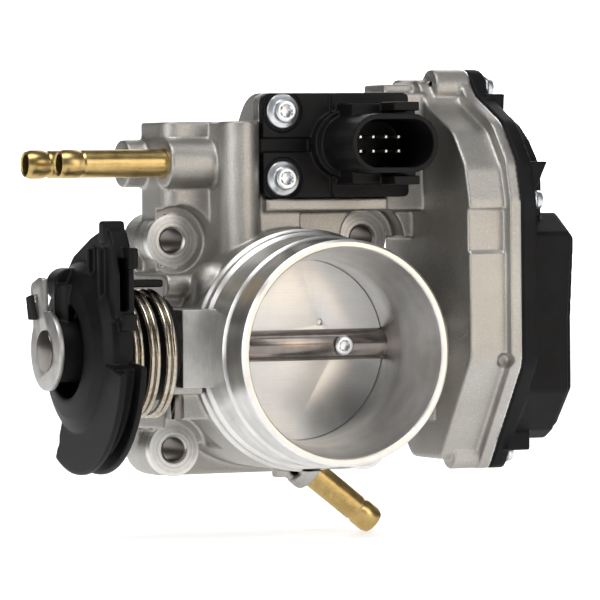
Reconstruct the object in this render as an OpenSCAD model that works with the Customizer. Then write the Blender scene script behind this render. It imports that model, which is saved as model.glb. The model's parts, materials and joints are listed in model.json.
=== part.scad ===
// Cable-driven throttle body with a geared idle actuator.
// X runs along the throttle shaft towards the gear case, Y along the air flow towards the engine,
// Z is up. The origin is the centre of the bolt pattern, on the engine flange's face.

/* [Bore and throttle] */
// Radius of the air bore
bore_r = 26; // [24:0.5:27]
// How far the bore's axis lies below the throttle shaft
bore_drop = 1.4; // [0:0.1:2]
// Distance of the throttle shaft from the engine flange's face
shaft_back = 39.3; // [37:0.1:42]
// Radius of the throttle shaft
shaft_r = 4.6; // [4:0.1:5]
// Thickness of the throttle plate
plate_t = 2; // [1.5:0.1:2.5]
// Lean of the closed plate towards the inlet, in degrees
plate_tilt = 3.9; // [2:0.1:6]

/* [Inlet spigot] */
// Outer radius that the air hose slips over
spigot_r = 31.8; // [31:0.1:33]
// Radius of the mouth
mouth_r = 29.6; // [28.5:0.1:30]
// Distance of the rim from the engine flange's face
rim_back = 72.3; // [68:0.1:76]

/* [Engine flange] */
// Spacing of the four bolts, both ways
bolt_pitch = 60; // [58:0.5:64]
// Radius of the bolt holes
bolt_hole_r = 3.35; // [3.2:0.05:3.5]
// Radius of the bolt bosses
bolt_boss_r = 7.7; // [7:0.1:8.5]
// Height of the bolt bosses above the flange's face
bolt_boss_h = 18; // [14:0.5:22]
// Half width of the square flange
flange_half = 38; // [37:0.5:40]
// Thickness of the flange
flange_t = 9; // [7:0.5:11]

/* [Coolant passage] */
// Outer radius of the coolant pipes
pipe_r = 4; // [3.5:0.1:4.5]
// Height of both pipes above the throttle shaft
pipe_z = 52.2; // [50:0.1:54]
// Length of each pipe outside its boss
pipe_len = 32.5; // [28:0.1:34]

/* [Socket] */
// Outer width of the socket's mouth
socket_w = 27; // [25:0.5:30]
// Outer height of the socket's mouth
socket_h = 16.8; // [16:0.1:19]
// Length of the socket in front of its base plate
socket_len = 24; // [20:0.5:27]

/* [Gear case] */
// Plane where the gear case and its cover meet
joint_x = 58; // [57:0.1:59]
// Outer face of the cover over the sensor
cover_x = 78; // [76:0.5:80]
// Radius of the idle motor
motor_r = 13; // [12:0.1:13]

/* [Gear train] */
// Module of the gears
gear_module = 1; // [0.98:0.01:1]
// Teeth of the motor pinion
pinion_teeth = 10; // [10:1:10]
// Teeth of the reduction gear's large wheel
wheel_teeth = 44; // [44:1:44]
// Teeth of the reduction gear's small wheel
small_teeth = 14; // [14:1:14]
// Teeth of the whole circle that the idle segment is part of
segment_teeth = 56; // [56:1:56]

/* [Cable pulley] */
// Radius of the pulley's rims
pulley_r = 35; // [34:0.5:37]
// Radius of the bottom of the cable groove
groove_r = 30.5; // [29:0.5:32]
// Outer radius of the return spring
spring_r = 18.3; // [17.5:0.1:19]
// Diameter of the return spring's wire
wire_d = 1.8; // [1.5:0.1:1.8]

/* [Hidden] */

$fn = 64;
cut = 1;                         // how far a cutting tool runs past a face
bolt_half = bolt_pitch / 2;
shaft_y = -shaft_back;
bore_z = -bore_drop;
rim_y = -rim_back;
plate_screw_x = [-20, 12];
collar_y = -47;                  // step where the spigot meets the cast body
body_r = bore_r + 8.6;           // cast body round the bore

// Coolant block
block_x0 = -35;
block_x1 = -16;
block_y0 = -25;
block_top = 64;
pipe_boss_r = 6.9;
root_step = 0.2;                 // the pipes' pressed roots are this much thinner
front_pipe = [block_x0, block_y0, pipe_z];
rear_pipe = [-41.2, -7.6, pipe_z];

// Socket and motor bay
wall_y = -33;                    // face of the wall that carries the socket
wall_x0 = -9;
wall_back = -28;                 // back of that wall beside the motor bay
bay_x0 = -3;                     // closed end of the motor bay
wall_x1 = 38;
wall_z0 = 42;
wall_z1 = 72;
base_t = 3;
base_y = wall_y - base_t;
socket_x = 21.5;
socket_z = 57.3;
socket_y = base_y - socket_len;
socket_wall = 1.6;
pin_pitch = 4;
base_screws = [[-2.8, 66.8], [-2.8, 47.6]];
motor_y = wall_y + 2.6 + motor_r;

// Gear train: centre distances, then the reduction axle from the two circles that meet on it
mesh_1 = gear_module * (pinion_teeth + wheel_teeth) / 2;
mesh_2 = gear_module * (small_teeth + segment_teeth) / 2;
train_len = 61;
motor_z = sqrt(pow(train_len, 2) - pow(motor_y - shaft_y, 2));
motor_at = [motor_y, motor_z];
shaft_at = [shaft_y, 0];
train_dir = (shaft_at - motor_at) / train_len;
train_side = [train_dir[1], -train_dir[0]];
train_along = (pow(mesh_1, 2) - pow(mesh_2, 2) + pow(train_len, 2)) / (2 * train_len);
train_off = sqrt(pow(mesh_1, 2) - pow(train_along, 2));
axle_at = motor_at + train_along * train_dir + train_off * train_side;
wheel_r = gear_module * (wheel_teeth / 2 + 0.8);
angle_1 = atan2(motor_at[1] - axle_at[1], motor_at[0] - axle_at[0]);
angle_2 = atan2(axle_at[1], axle_at[0] - shaft_y);
pressure_angle = 25;
backlash = 0.24;
pan_x0 = 43;                     // outer face of the gear case's floor
floor_x = 46;                    // inner face of that floor
wheel_x = 49;
wheel_t = 4;
segment_x = 54;
segment_t = 4;
lever_x = 59;
gasket_t = 0.6;
board_x = 66.2;
board_t = 1.6;
cover_flange_x = joint_x + gasket_t;

// Outline of the gear case in Y and Z, counter-clockwise
case_outline = [
    [-44, -37], [-22, -37], [-8, -22], [-3, -6], [-3, 64], [-9, 78],
    [-30, 79], [-37, 71], [-54, 63], [-63, 52], [-66, 41], [-66, -6]
];
case_corner_r = [4, 6, 6, 6, 6, 5, 5, 5, 12, 8, 7, 7];
cover_screw_at = [[-29, 73.6], [-60.2, 40.8], [-40, -32.6], [-10.4, 71.5], [-7.6, 20], [-11.5, -13]];
box_outline = [
    [-45, -28.6], [-29, -28.6], [-17.4, -16], [-17.4, 22], [-22, 37], [-53, 37], [-62.5, 31],
    [-60, 6], [-60, -14.5], [-50, -26]
];
// Raised part of the cover over the motor
raised_outline = [
    [-57, 35], [-15, 35], [-12, 50], [-14, 63], [-23, 67.6], [-34.5, 66.3], [-44, 62.4], [-50, 58],
    [-55, 52.5], [-57.4, 46]
];
raised_x = 69;

// Purge pipe: its root on the bore wall and how far it points below the X axis
purge_x = 0.5;
purge_z = -34;
purge_drop = 38;
purge_tip = 28.5;
purge_r = 3.9;

// Cable pulley; the arm's outline is in Y and Z from the shaft
arm_outline = [
    [-26, 9], [16, 9], [13.6, 20.4], [6.4, 26.3], [-6.7, 31.5], [-15, 33.8], [-18, 35.4], [-21, 33.2],
    [-23.2, 29.6], [-26, 22]
];
rim_x0 = -68.6;
rim_x1 = -61;
rim_t = 1.8;
hub_x0 = -71.5;
hub_x1 = -60.4;
end_x = -77.6;
end_t = 1.6;
spring_x0 = -59.9;
spring_x1 = -43.6;
spring_turns = 6;
spring_sag = 1.4;                // the spring hangs this far below the shaft
shaft_x0 = -78;
shaft_x1 = 63;
lever_angle = 100;               // where the shaft's lever points, from +Y towards +Z

// Post that holds the fixed end of the return spring
post_x = -39.6;
post_y = -43;
post_r = 1.7;

// ---- Shared shapes ----

module x_cyl(r, x0, x1, at) {
    translate([x0, at[0], at[1]]) rotate([0, 90, 0]) cylinder(h = x1 - x0, r = r);
}

module y_cyl(r, y0, y1, x, z) {
    translate([x, y0, z]) rotate([-90, 0, 0]) cylinder(h = y1 - y0, r = r);
}

module z_cyl(r, z0, z1, x, y) {
    translate([x, y, z0]) cylinder(h = z1 - z0, r = r);
}

module block(low, high) {
    translate(low) cube(high - low);
}

// A flat shape in Y and Z, thick along X
module x_slab(x0, x1) {
    translate([x0, 0, 0]) rotate([90, 0, 90]) linear_extrude(height = x1 - x0) children();
}

// A flat shape in X and Z, thick along Y
module y_slab(y0, y1) {
    translate([0, y1, 0]) rotate([90, 0, 0]) linear_extrude(height = y1 - y0) children();
}

module x_ring(r_out, r_in, x0, x1, at) {
    difference() {
        x_cyl(r_out, x0, x1, at);
        x_cyl(r_in, x0 - cut, x1 + cut, at);
    }
}

// Shapes turned about the throttle shaft: the child's axis is Z, laid along X
module about_shaft(x = 0) {
    translate([x, shaft_y, 0]) rotate([0, 90, 0]) children();
}

module in_plate_frame() {
    translate([0, shaft_y, 0]) rotate([plate_tilt, 0, 0]) children();
}

function unit(v) = v / norm(v);
function left_of(v) = [-v[1], v[0]];

// Outline moved inwards by d, for a counter-clockwise outline
function inset_outline(p, d) = [
    for (i = [0 : len(p) - 1])
        let (
            a = p[(i + len(p) - 1) % len(p)],
            b = p[i],
            c = p[(i + 1) % len(p)],
            n1 = left_of(unit(b - a)),
            n2 = left_of(unit(c - b))
        )
        b + d * (n1 + n2) / (1 + n1 * n2)
];

// Outline with every corner turned into an arc; radius is one number, or one for each corner
function round_outline(p, radius, steps = 6) = [
    for (i = [0 : len(p) - 1])
        let (
            b = p[i],
            r = is_list(radius) ? radius[i] : radius,
            u = unit(p[(i + len(p) - 1) % len(p)] - b),
            w = unit(p[(i + 1) % len(p)] - b),
            half = acos(u * w) / 2,
            c = b + unit(u + w) * r / sin(half),
            s = b + u * r / tan(half) - c,
            e = b + w * r / tan(half) - c,
            a0 = atan2(s[1], s[0]),
            turn = atan2(s[0] * e[1] - s[1] * e[0], s * e)
        )
        for (k = [0 : steps]) c + r * [cos(a0 + turn * k / steps), sin(a0 + turn * k / steps)]
];

// Rounded box in X and Z, given by its corners
function round_box(x0, z0, x1, z1, r) = round_outline([[x0, z0], [x1, z0], [x1, z1], [x0, z1]], r);

// Involute teeth
function involute(a) = tan(a) * 180 / PI - a;
function flank(n, r) = let (
    rp = gear_module * n / 2,
    rb = rp * cos(pressure_angle),
    thick = 90 / n - backlash / rp * 90 / PI
) thick + involute(pressure_angle) - (r > rb ? involute(acos(rb / r)) : 0);

function polar(r, a) = [r * cos(a), r * sin(a)];

function tooth(n, a) = let (
    rp = gear_module * n / 2,
    top = rp + 0.8 * gear_module,
    foot = rp - 1.05 * gear_module,
    low = max(foot + 0.05, rp * cos(pressure_angle))
) concat(
    [for (r = [foot, low, rp, top]) polar(r, a - flank(n, r))],
    [for (r = [top, rp, low, foot]) polar(r, a + flank(n, r))]
);

function teeth(n, phase, first, last) = [
    for (i = [first : last]) for (q = tooth(n, phase + i * 360 / n)) q
];

module gear_shape(n, phase) {
    polygon(teeth(n, phase, 0, n - 1));
}

// Tube swept as a coil about the X axis; pairs of turns lie close together
module coil(r, wire, x0, x1, turns, pairing, start) {
    sides = 8;
    steps = 20;
    rings = turns * steps;
    function ring_centre(t) = [
        x0 + (x1 - x0) * t / turns + pairing * sin(180 * t),
        r * cos(start + 360 * t),
        r * sin(start + 360 * t)
    ];
    points = [
        for (i = [0 : rings])
            let (t = i / steps, c = ring_centre(t), a = start + 360 * t)
            for (k = [0 : sides - 1])
                let (b = 360 * k / sides)
                c + wire / 2 * [sin(b), cos(b) * cos(a), cos(b) * sin(a)]
    ];
    faces = concat(
        [[for (k = [0 : sides - 1]) k]],
        [for (i = [0 : rings - 1]) for (k = [0 : sides - 1])
            let (m = (k + 1) % sides)
            [i * sides + k, (i + 1) * sides + k, (i + 1) * sides + m, i * sides + m]],
        [[for (k = [sides - 1 : -1 : 0]) rings * sides + k]]
    );
    translate([0, shaft_y, 0]) polyhedron(points = points, faces = faces, convexity = 8);
}

// Screw along +X or +Y is built along Z, head down: head, shank and a six-lobed recess
module screw(head_r, head_h, shank_r, shank_l, washer_r = 0, washer_h = 0) {
    difference() {
        union() {
            cylinder(h = head_h, r = head_r);
            if (washer_r > 0) translate([0, 0, head_h]) cylinder(h = washer_h, r = washer_r);
            translate([0, 0, head_h + washer_h]) cylinder(h = shank_l, r = shank_r);
        }
        translate([0, 0, -cut]) cylinder(h = cut + head_h * 0.6, r = head_r * 0.42, $fn = 6);
    }
}

// ---- Housing ----

module barrel() {
    translate([0, 0, bore_z]) rotate([-90, 0, 0]) rotate_extrude() polygon([
        [0, rim_y + 0.6], [spigot_r - 0.8, rim_y], [spigot_r, rim_y + 0.8],
        [spigot_r, -61], [spigot_r + 0.9, -60], [spigot_r + 0.9, collar_y - 1], [spigot_r + 1.9, collar_y],
        [spigot_r + 1.9, collar_y + 2], [body_r, collar_y + 3], [body_r, -flange_t + 1], [0, -flange_t + 1]
    ]);
}

module bore_cut() {
    translate([0, 0, bore_z]) rotate([-90, 0, 0]) rotate_extrude() polygon([
        [0, rim_y - cut], [mouth_r + 0.4, rim_y - cut], [mouth_r + 0.4, rim_y + 0.2], [mouth_r, rim_y + 0.8],
        [mouth_r - 0.6, rim_y + 6], [bore_r, rim_y + 20], [bore_r, cut], [0, cut]
    ]);
}

module engine_flange() {
    y_slab(-flange_t, 0) polygon(round_box(-flange_half, -flange_half, flange_half, flange_half, 8));
    for (x = [-bolt_half, bolt_half], z = [-bolt_half, bolt_half]) y_cyl(bolt_boss_r, -bolt_boss_h, -1, x, z);
}

module bolt_cuts() {
    for (x = [-bolt_half, bolt_half], z = [-bolt_half, bolt_half]) {
        y_cyl(bolt_hole_r, -bolt_boss_h - cut, cut, x, z);
        y_cyl(bolt_boss_r + 2.3, -30, -bolt_boss_h, x, z);
    }
}

module coolant_block() {
    difference() {
        union() {
            translate([0, 0, 20]) linear_extrude(height = block_top - 20)
                polygon(round_outline([[block_x0, block_y0], [block_x1, block_y0], [block_x1, -4], [block_x0, -4]], 4.5));
            x_cyl(pipe_boss_r, block_x0 - 0.4, block_x1, [front_pipe[1], pipe_z]);
            x_cyl(pipe_boss_r, rear_pipe[0], block_x1 - 1, [rear_pipe[1], pipe_z]);
        }
        x_cyl(pipe_r - root_step, block_x0 - cut - 8, block_x0 + 7, [front_pipe[1], pipe_z]);
        x_cyl(pipe_r - root_step, rear_pipe[0] - cut, rear_pipe[0] + 8, [rear_pipe[1], pipe_z]);
        for (y = [front_pipe[1], rear_pipe[1]]) x_cyl(3, block_x0, block_x1 - 4, [y, pipe_z]);
        y_cyl(2.9, front_pipe[1], rear_pipe[1], block_x1 - 7, pipe_z);
    }
}

// Upright half-round rib and the webs that tie the socket wall to the block
module uprights() {
    z_cyl(5.8, 20, block_top, -15.6, -33.4);
    block([-21, -34, 22], [-9.4, -6, block_top - 0.4]);
    y_slab(wall_y, wall_back) polygon(round_box(-12, 24, 4, block_top - 4, 2));
}

module motor_bay() {
    y_slab(wall_y, wall_back) polygon(round_box(wall_x0, wall_z0 - 4, wall_x1 + 6, wall_z1, 3));
    y_slab(wall_y, motor_y) polygon(round_box(bay_x0, wall_z0 - 4, wall_x1 + 6, wall_z1, 1));
    x_cyl(motor_r + 2.4, bay_x0, pan_x0 + 1, motor_at);
    block([wall_x0 - 4, motor_y - 8, 30], [pan_x0 + 1, motor_y + 8, motor_z]);
    block([33.5, -27, motor_z + 5], [pan_x0 + 1, -13, 74.6]);
    block([wall_x0 + 1, wall_y - 2.6, 38.2], [30.5, wall_y + 6, wall_z0 - 0.1]);
}

module bay_cuts() {
    x_cyl(motor_r, bay_x0 + 3, floor_x + cut, motor_at);
    block([12, wall_y - cut, 52], [31, motor_y, 62]);
    for (s = base_screws) y_cyl(2.3, wall_y - cut, wall_back + cut, s[0], s[1]);
}

// Bearing bosses either side of the bore, and the ribs round them
module shaft_bosses() {
    block([-40.4, -50, -11], [-27, -28, 11]);
    block([-42, -46, -13], [-30, -30, -10]);
    block([-37.2, -42, -20.4], [-27, -28, -12.6]);
    x_cyl(8, -50, -40, shaft_at);
    block([-38, -30, -24], [-26, -6, 20.8]);
    x_cyl(3.4, -37.6, -22, [-29.5, 17.4]);
    z_cyl(6.3, 4, 18, -26, -38);
    translate([-26, -38, 18]) sphere(r = 6.3);
    block([26, -40, -22], [pan_x0 + 1, -8, 12]);
    x_cyl(9.5, 27, pan_x0 + 1, shaft_at);
    block([-36, -30, -34], [-24, -14, -12]);
    z_cyl(3.9, -37.8, -30, -3, -36);
}

module bearing_cuts() {
    x_cyl(shaft_r + 0.3, -52, floor_x + cut, shaft_at);
    for (s = [-1, 1]) x_cyl(7, min(s * 29.5, s * 39.5), max(s * 29.5, s * 39.5), shaft_at);
    x_cyl(7, 39, floor_x + cut, shaft_at);
    x_cyl(6.6, -50 - cut, -46, shaft_at);
    x_cyl(7, -46, -39, shaft_at);
    z_cyl(post_r, -13 - cut, -9, post_x, post_y);
}

module gear_pan() {
    difference() {
        union() {
            x_slab(pan_x0, joint_x) polygon(round_outline(inset_outline(case_outline, 3), case_corner_r));
            x_slab(joint_x - 3.4, joint_x) polygon(round_outline(case_outline, case_corner_r));
            x_cyl(5.2, pan_x0 + 4, joint_x, cover_screw_at[0]);
            for (i = [3 : 5]) x_cyl(4.8, pan_x0 + 2, joint_x, cover_screw_at[i]);
            x_cyl(4.4, pan_x0 + 4, joint_x, cover_screw_at[2]);
        }
        difference() {
            x_slab(floor_x, joint_x + cut) polygon(round_outline(inset_outline(case_outline, 6.2), 3.5));
            for (s = cover_screw_at) x_cyl(4.8, floor_x - cut, joint_x + 2 * cut, s);
        }
        x_cyl(wheel_r + 0.7, wheel_x - 0.8, joint_x + cut, axle_at);
        for (s = cover_screw_at) x_cyl(1.9, joint_x - 11, joint_x + cut, s);
        block([pan_x0 - cut, -66, 26], [joint_x - 3.4, -62, 38.5]);
        y_cyl(1.9, -66, -60.9, 54, -5);
    }
}

module axle_boss() {
    x_cyl(5, floor_x - cut, wheel_x - 1, axle_at);
}

module purge_frame() {
    translate([purge_x, shaft_y, purge_z]) rotate([0, 90 + purge_drop, 0]) children();
}

module housing() color("silver") {
    difference() {
        union() {
            barrel();
            engine_flange();
            coolant_block();
            uprights();
            motor_bay();
            shaft_bosses();
            gear_pan();
            axle_boss();
            purge_frame() cylinder(h = 4, r = 6.2);
        }
        bore_cut();
        bolt_cuts();
        bay_cuts();
        bearing_cuts();
        x_cyl(2.5, floor_x - 2, wheel_x, axle_at);
        purge_frame() translate([0, 0, -3]) cylinder(h = 20, r = purge_r - root_step);
        purge_frame() translate([0, 0, -14]) cylinder(h = 20, r = 2.6);
    }
}

// ---- Throttle ----

module throttle_shaft() color("dimgray") {
    difference() {
        union() {
            x_cyl(shaft_r, shaft_x0, shaft_x1, shaft_at);
            x_cyl(5.8, shaft_x0, end_x, shaft_at);
        }
        in_plate_frame() block([-bore_r + 0.1, -plate_t / 2, -6], [bore_r - 0.1, plate_t / 2, 6]);
        in_plate_frame() for (x = plate_screw_x) {
            y_cyl(3.1, -6, -shaft_r + 1, x, 0);
            y_cyl(1.6, -6, 6, x, 0);
        }
    }
}

module throttle_plate() color("lightgray") {
    difference() {
        intersection() {
            in_plate_frame() block([-30, -plate_t / 2, -32], [30, plate_t / 2, 30]);
            y_cyl(bore_r - 0.15, shaft_y - 8, shaft_y + 8, 0, bore_z);
        }
        in_plate_frame() for (x = plate_screw_x) y_cyl(1.6, -6, 6, x, 0);
        in_plate_frame() y_cyl(0.9, -2, -plate_t / 2 + 0.6, 6, 6.5);
    }
}

module plate_screws() color("silver") {
    in_plate_frame() for (x = plate_screw_x)
        translate([x, -shaft_r - 0.9, 0]) rotate([-90, 0, 0]) screw(2.8, 1.9, 1.6, 7.3);
}

module needle_bearing_left() color("gray") {
    difference() {
        x_cyl(7, -39.5, -29.5, shaft_at);
        x_cyl(shaft_r + 0.05, -41, -28, shaft_at);
    }
}

module needle_bearing_right() color("gray") {
    difference() {
        x_cyl(7, 29.5, 39.5, shaft_at);
        x_cyl(shaft_r + 0.05, 28, 41, shaft_at);
    }
}

module shaft_seal_left() color("black") {
    difference() {
        x_cyl(7, -44, -40, shaft_at);
        x_cyl(shaft_r + 0.06, -46, -39, shaft_at);
        x_ring(6.2, shaft_r + 0.7, -45, -42, shaft_at);
    }
}

module shaft_seal_right() color("black") {
    difference() {
        x_cyl(7, 40.5, 44.5, shaft_at);
        x_cyl(shaft_r + 0.06, 39, 46, shaft_at);
        x_ring(6.2, shaft_r + 0.7, 43, 46, shaft_at);
    }
}

module spring_sleeve() color("black") {
    difference() {
        x_cyl(14.6, -57.6, -42.4, shaft_at);
        x_cyl(8, -50, -41, shaft_at);
        x_cyl(6, -59, -49, shaft_at);
        for (a = [20, 140, 260]) about_shaft(-59) rotate([0, 0, a]) translate([11, 0, 0]) cylinder(h = 12, r = 1.9);
    }
}

module return_spring() color("tan") {
    translate([0, 0, -spring_sag])
        coil(spring_r - wire_d / 2, wire_d, spring_x0 + 0.9, spring_x1 - 0.5, spring_turns, 0.38, 0);
}

function wedge(r, a0, a1) = concat([[0, 0]], [for (k = [0 : 12]) polar(r, a0 + (a1 - a0) * k / 12)]);

// Part of a disc round the shaft; angles run from +Y towards +Z
module sector(r, x0, x1, a0, a1) {
    translate([0, shaft_y, 0]) intersection() {
        translate([x0, 0, 0]) rotate([0, 90, 0]) cylinder(h = x1 - x0, r = r);
        x_slab(x0 - cut, x1 + cut) polygon(wedge(r * 1.4, a0, a1));
    }
}

module cable_pulley() color([0.12, 0.12, 0.13]) {
    difference() {
        union() {
            about_shaft() rotate_extrude() polygon([
                [0, hub_x0], [15, hub_x0], [19, hub_x0 + 0.8], [22.5, hub_x0 + 2.4], [24.5, hub_x0 + 4.6],
                [25, hub_x0 + 6], [25, rim_x1], [16, hub_x1], [0, hub_x1]
            ]);
            sector(pulley_r, rim_x0, rim_x0 + rim_t, 189, 298);
            sector(pulley_r, rim_x1 - rim_t, rim_x1, 186, 300);
            sector(groove_r, rim_x0 + 0.2, rim_x1 - 0.2, 188, 299);
            x_slab(-66.4, rim_x1) translate(shaft_at) polygon(round_outline(arm_outline, 1.5));
            x_slab(-67.2, rim_x1) translate(shaft_at) polygon(round_box(-19.4, 30, -14.8, 36.3, 1.2));
            x_slab(-63.6, rim_x1) translate(shaft_at) polygon(round_box(-29.3, 23, -22, 28.9, 0.8));
            for (y = [-9.3, -17.2]) block([-68.4, shaft_y + y - 0.8, 14], [-66, shaft_y + y + 0.8, 28.6]);
            block([-65, shaft_y - 27.5, 6], [-60.8, shaft_y - 16, 10.6]);
            block([-62, shaft_y - 6.6, 17.4], [-44.4, shaft_y + 2.2, 19.6]);
            block([-67.4, shaft_y - 23.5, -4], [-61.2, shaft_y - 16, 3.2]);
            z_cyl(4.4, 8, 18.6, -70, shaft_y + 0.4);
            y_cyl(4.9, shaft_y, shaft_y + 8, -69.4, 18.2);
            x_cyl(8.8, end_x + end_t + 0.4, hub_x0 + 1, shaft_at);
        }
        x_cyl(7, hub_x0 - cut, hub_x1 + cut, shaft_at);
        x_cyl(7, end_x, hub_x0, shaft_at);
        x_ring(13.4, 8.8, hub_x0 - 0.1, hub_x0 + 7, shaft_at);
        block([-65.2, shaft_y - 27, 11.4], [-62.6, shaft_y - 19, 26]);
        about_shaft(-67) rotate([0, 0, 32]) translate([30, 0, -4]) cylinder(h = 14, r = 2.6);
    }
}

module pulley_bush() color("darkgray") {
    x_ring(7, shaft_r, hub_x0 - 3.6, hub_x1 + 0.4, shaft_at);
}

// Steel disc riveted on the end of the shaft, with a tab for the spring and the travel stop
module end_plate() color("gainsboro") {
    difference() {
        union() {
            x_cyl(11.1, end_x, end_x + end_t, shaft_at);
            x_slab(end_x, end_x + end_t) polygon(round_outline(
                [[shaft_y + 0.4, 0], [shaft_y + 9, 2], [shaft_y + 9.4, 11], [shaft_y + 11.1, 17],
                 [shaft_y + 10.2, 18.8], [shaft_y + 4.4, 20.6], [shaft_y + 1.4, 20.2], [shaft_y + 0.8, 12]], 0.7));
        }
        x_cyl(shaft_r, end_x - cut, end_x + end_t + cut, shaft_at);
        x_cyl(1.2, end_x - cut, end_x + end_t + cut, [shaft_y + 6.6, 14.5]);
    }
}

// Rubber bumper clipped over the edge of the end plate's tab
module stop_bumper() color([0.09, 0.09, 0.09]) {
    difference() {
        x_slab(end_x - 1.1, end_x + end_t + 0.9) translate(shaft_at)
            polygon(round_outline([[4.8, 8.6], [10.4, 8.5], [12.2, 14.9], [8.6, 15.6]], 0.5));
        x_slab(end_x, end_x + end_t) translate(shaft_at)
            polygon([[0, 0], [9, 2], [9.4, 11], [11.1, 17], [0, 18]]);
    }
}

// ---- Pipes ----

// Tube with a neck and a bead at its far end, built along +Z; seat is where its full radius starts
module barbed_tube(r, bore, root, seat, length) {
    difference() {
        union() {
            translate([0, 0, -root]) cylinder(h = root + seat + 1, r = r - root_step);
            translate([0, 0, seat]) cylinder(h = length - 7.3 - seat, r = r);
            translate([0, 0, length - 7.5]) cylinder(h = 6, r = r - 0.35);
            translate([0, 0, length - 6.4]) cylinder(h = 1, r1 = r - 0.35, r2 = r + 0.16);
            translate([0, 0, length - 5.4]) cylinder(h = 3.8, r = r + 0.16);
            translate([0, 0, length - 1.6]) cylinder(h = 1.6, r1 = r + 0.16, r2 = r - 0.6);
        }
        translate([0, 0, -root - cut]) cylinder(h = root + length + 2 * cut, r = bore);
    }
}

module coolant_pipe_front() color("goldenrod") {
    translate(front_pipe) rotate([0, -90, 0]) barbed_tube(pipe_r, 3, 7, 0.55, pipe_len);
}

module coolant_pipe_rear() color("goldenrod") {
    translate(rear_pipe) rotate([0, -90, 0]) barbed_tube(pipe_r, 3, 8, 0.15, pipe_len - 2.7);
}

module purge_pipe() color("goldenrod") {
    purge_frame() barbed_tube(purge_r, 2.8, 3, 7.8, purge_tip);
}

// ---- Connector ----

function stadium(x, z, w, h) = round_box(x - w / 2, z - h / 2, x + w / 2, z + h / 2, h / 2 - 0.2);

module connector_shell() color([0.1, 0.1, 0.11]) {
    difference() {
        union() {
            y_slab(base_y, wall_y) polygon(round_box(wall_x0, wall_z0, wall_x1 - 1.6, wall_z1, 2.4));
            y_slab(base_y - 1.2, base_y + 1) polygon(round_box(12, wall_z0, wall_x1 - 1.6, wall_z1, 1.6));
            y_slab(base_y - 3.5, base_y) polygon(stadium(socket_x - 0.4, socket_z, socket_w + 3.6, socket_h + 2.6));
            y_slab(socket_y, base_y) polygon(stadium(socket_x, socket_z, socket_w, socket_h));
            for (z = [socket_z + socket_h / 2 + 0.8, socket_z - socket_h / 2 - 3.4])
                block([socket_x + 1, socket_y + 3, z], [socket_x + 9, socket_y + 12, z + 2.6]);
            for (z = [socket_z + socket_h / 2 - 2, socket_z - socket_h / 2 - 3])
                block([socket_x - 8, base_y - 12, z], [socket_x + 12, base_y, z + 5]);
            block([12.3, wall_y - 0.1, 52.3], [30.7, wall_y + 1.9, 61.7]);
        }
        y_slab(socket_y - cut, base_y - 1)
            polygon(stadium(socket_x, socket_z, socket_w - 2 * socket_wall, socket_h - 2 * socket_wall));
        for (s = base_screws) y_cyl(2.7, base_y - cut, wall_y + cut, s[0], s[1]);
        for (s = base_screws) y_cyl(6.1, base_y - 1, base_y + 0.7, s[0], s[1]);
        block([wall_x0 - cut, base_y - 1, 55], [6, base_y + 2, 59.2]);
        for (z = pin_rows()) for (k = [-1.5 : 1 : 1.5])
            block([pin_x(k) - 0.4, base_y - 2, z - 0.4], [pin_x(k) + 0.4, wall_y + 4, z + 0.4]);
    }
}

function pin_x(k) = socket_x - 0.8 + k * pin_pitch;
function pin_rows() = [socket_z - 2.2, socket_z + 1.9];

module connector_pins() color("gainsboro") {
    for (z = pin_rows()) for (k = [-1.5 : 1 : 1.5])
        block([pin_x(k) - 0.4, socket_y + 9, z - 0.4], [pin_x(k) + 0.4, wall_y + 2.1, z + 0.4]);
}

module connector_seal() color("black") {
    y_slab(wall_y, wall_y + 1.6) difference() {
        polygon(round_box(12, 52, 31, 62, 0.1));
        polygon(round_box(12.3, 52.3, 30.7, 61.7, 0.05));
    }
}

module connector_screws() color("silver") {
    for (s = base_screws) translate([s[0], base_y + 0.7 - 3.6, s[1]]) rotate([-90, 0, 0])
        screw(3.3, 2.6, 2.3, 6.8, 5, 1);
}

// ---- Gear case cover ----

module cover_gasket() color("black") {
    x_slab(joint_x, joint_x + gasket_t) difference() {
        polygon(round_outline(inset_outline(case_outline, 0.3), case_corner_r));
        polygon(round_outline(inset_outline(case_outline, 4.4), 4));
        for (s = cover_screw_at) translate(s) circle(r = 2.6);
    }
}

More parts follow.
